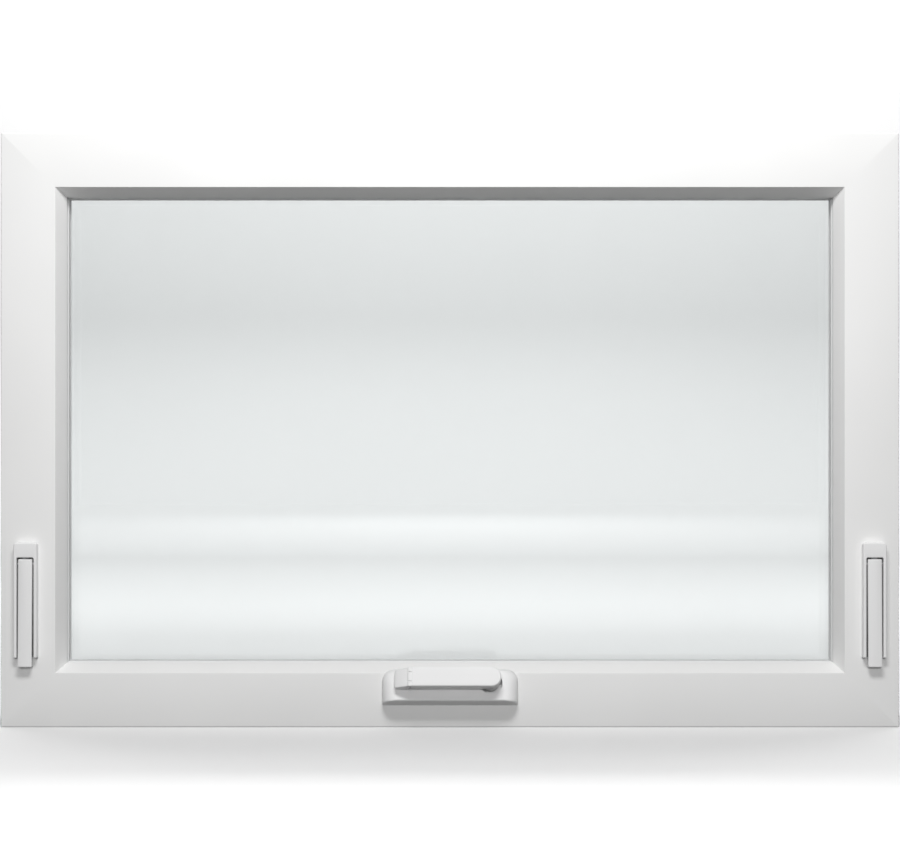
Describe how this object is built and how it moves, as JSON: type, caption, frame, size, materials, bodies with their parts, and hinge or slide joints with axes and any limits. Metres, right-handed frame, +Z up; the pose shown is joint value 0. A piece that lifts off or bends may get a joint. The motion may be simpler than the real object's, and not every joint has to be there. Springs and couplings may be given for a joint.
{
  "type": "awning window unit",
  "caption": "White vinyl awning window: hollow frame, outward-projecting glazed sash on side stays, worm operator with folding crank, side locks.",
  "frame": {"origin": "underside of the sill at mid width and mid frame depth", "axes": "+X right as seen from the room, +Y outdoors, +Z up"},
  "size_m": [0.9018, 0.1178, 0.5969],
  "materials": {
    "frame_vinyl": "smooth white extruded vinyl, satin",
    "sash_vinyl": "smooth white extruded vinyl, satin",
    "bead_vinyl": "smooth white extruded vinyl, satin",
    "glass": "clear float glass",
    "spacer": "mill aluminium spacer bar",
    "seal": "dark grey flexible seal",
    "setting_rubber": "firm black rubber",
    "stay_steel": "stainless strip, brushed",
    "pin_steel": "turned steel",
    "stiffener_alloy": "mill finish extrusion",
    "shoe_nylon": "filled nylon",
    "operator_zinc": "cast zinc, painted white",
    "gear_steel": "plated steel plate",
    "cover_plastic": "moulded white plastic, fine satin",
    "handle_paint": "cast zinc, white powder coat",
    "lock_paint": "cast zinc, white powder coat"
  },
  "bodies": {
    "frame": {"frame_head": "frame_vinyl", "frame_sill": "frame_vinyl", "frame_jamb_left": "frame_vinyl", "frame_jamb_right": "frame_vinyl", "frame_weatherstrip": "seal", "weep_covers": "cover_plastic", "hinge_track_left": "stay_steel", "hinge_track_right": "stay_steel", "arm_pivots": "pin_steel", "lock_housing_left": "lock_paint", "lock_housing_right": "lock_paint", "lock_pins": "pin_steel", "operator_case": "operator_zinc", "gear_posts": "pin_steel", "operator_cover": "cover_plastic", "frame_screws": "pin_steel"},
    "sash": {"sash_top_rail": "sash_vinyl", "sash_bottom_rail": "sash_vinyl", "sash_stile_left": "sash_vinyl", "sash_stile_right": "sash_vinyl", "glazing_bead_top": "bead_vinyl", "glazing_bead_bottom": "bead_vinyl", "glazing_bead_left": "bead_vinyl", "glazing_bead_right": "bead_vinyl", "glass_inner": "glass", "glass_outer": "glass", "glass_spacer": "spacer", "glazing_gasket": "seal", "glazing_tape": "seal", "setting_blocks": "setting_rubber", "stile_stiffeners": "stiffener_alloy", "rail_stiffeners": "stiffener_alloy", "sash_plates_left": "stay_steel", "sash_plates_right": "stay_steel", "stay_pins": "pin_steel", "keepers": "stay_steel", "bracket_ears": "operator_zinc", "bracket_hinge_pin": "pin_steel", "sash_screws": "pin_steel"},
    "support_arm_left": {"support_arm_left": "stay_steel"},
    "support_arm_right": {"support_arm_right": "stay_steel"},
    "shoe_left": {"shoe_left": "shoe_nylon"},
    "shoe_right": {"shoe_right": "shoe_nylon"},
    "bracket": {"sash_bracket": "operator_zinc", "bracket_pins": "pin_steel"},
    "gear_arm_left": {"gear_arm_left": "gear_steel", "link_rivet_left": "pin_steel"},
    "gear_arm_right": {"gear_arm_right": "gear_steel", "link_rivet_right": "pin_steel"},
    "link_left": {"link_left": "gear_steel"},
    "link_right": {"link_right": "gear_steel"},
    "crank": {"worm_shaft": "gear_steel", "crank_arm": "handle_paint", "set_screw": "pin_steel", "knob_pin": "pin_steel"},
    "knob": {"knob": "handle_paint"},
    "lock_left": {"lock_lever_left": "lock_paint", "lock_hook_left": "gear_steel"},
    "lock_right": {"lock_lever_right": "lock_paint", "lock_hook_right": "gear_steel"}
  },
  "joints": [
    {"name": "arm_left_swing", "type": "hinge", "parent": "frame", "child": "support_arm_left", "pos_m": [-0.434, -0.0105, 0.0188], "axis": [1, 0, 0], "range_deg": [-40.5, 0.5]},
    {"name": "sash_swing", "type": "hinge", "parent": "support_arm_left", "child": "sash", "pos_m": [-0.434, -0.0105, 0.29435], "axis": [1, 0, 0], "range_deg": [0, 80]},
    {"name": "arm_right_swing", "type": "hinge", "parent": "frame", "child": "support_arm_right", "pos_m": [0.434, -0.0105, 0.0188], "axis": [1, 0, 0], "range_deg": [-40.5, 0.5]},
    {"name": "shoe_left_turn", "type": "hinge", "parent": "sash", "child": "shoe_left", "pos_m": [-0.43895, -0.0105, 0.5699], "axis": [1, 0, 0], "range_deg": [-40.5, 0.5]},
    {"name": "shoe_right_turn", "type": "hinge", "parent": "sash", "child": "shoe_right", "pos_m": [0.43895, -0.0105, 0.5699], "axis": [1, 0, 0], "range_deg": [-40.5, 0.5]},
    {"name": "bracket_tilt", "type": "hinge", "parent": "sash", "child": "bracket", "pos_m": [0.0407, -0.0105, 0.0188], "axis": [1, 0, 0], "range_deg": [-40.5, 0.5]},
    {"name": "gear_arm_left_swing", "type": "hinge", "parent": "frame", "child": "gear_arm_left", "pos_m": [0.01764, -0.0105, 0.031], "axis": [0, 0, 1], "range_deg": [-40.5, 0.5]},
    {"name": "gear_arm_right_swing", "type": "hinge", "parent": "frame", "child": "gear_arm_right", "pos_m": [0.06292, -0.0105, 0.031], "axis": [0, 0, 1], "range_deg": [-0.5, 40.5]},
    {"name": "link_left_fold", "type": "hinge", "parent": "gear_arm_left", "child": "link_left", "pos_m": [-0.25791, -0.0105, 0.026], "axis": [0, 0, 1], "range_deg": [-0.5, 80.5]},
    {"name": "link_right_fold", "type": "hinge", "parent": "gear_arm_right", "child": "link_right", "pos_m": [0.33847, -0.0105, 0.026], "axis": [0, 0, 1], "range_deg": [-80.5, 0.5]},
    {"name": "crank_turn", "type": "hinge", "parent": "frame", "child": "crank", "pos_m": [0.0407, -0.0615, 0.0516], "axis": [0, -0.9272, 0.3746], "range_deg": [-1605, 5]},
    {"name": "knob_fold", "type": "hinge", "parent": "crank", "child": "knob", "pos_m": [-0.0395, -0.06817, 0.0543], "axis": [0, 0.3746, 0.9272], "range_deg": [0, 90]},
    {"name": "lock_left_lift", "type": "hinge", "parent": "frame", "child": "lock_left", "pos_m": [-0.42485, -0.0461, 0.165], "axis": [-1, 0, 0], "range_deg": [0, 90]},
    {"name": "lock_right_lift", "type": "hinge", "parent": "frame", "child": "lock_right", "pos_m": [0.42485, -0.0461, 0.165], "axis": [-1, 0, 0], "range_deg": [0, 90]}
  ],
  "couplings": [
    {"joint": "arm_left_swing", "follows": "sash_swing", "ratio": -0.5},
    {"joint": "arm_right_swing", "follows": "sash_swing", "ratio": -0.5},
    {"joint": "shoe_left_turn", "follows": "sash_swing", "ratio": -0.5},
    {"joint": "shoe_right_turn", "follows": "sash_swing", "ratio": -0.5},
    {"joint": "bracket_tilt", "follows": "sash_swing", "ratio": -0.5},
    {"joint": "gear_arm_left_swing", "follows": "sash_swing", "ratio": -0.5},
    {"joint": "gear_arm_right_swing", "follows": "sash_swing", "ratio": 0.5},
    {"joint": "link_left_fold", "follows": "sash_swing", "ratio": 1},
    {"joint": "link_right_fold", "follows": "sash_swing", "ratio": -1},
    {"joint": "crank_turn", "follows": "sash_swing", "ratio": -20}
  ]
}
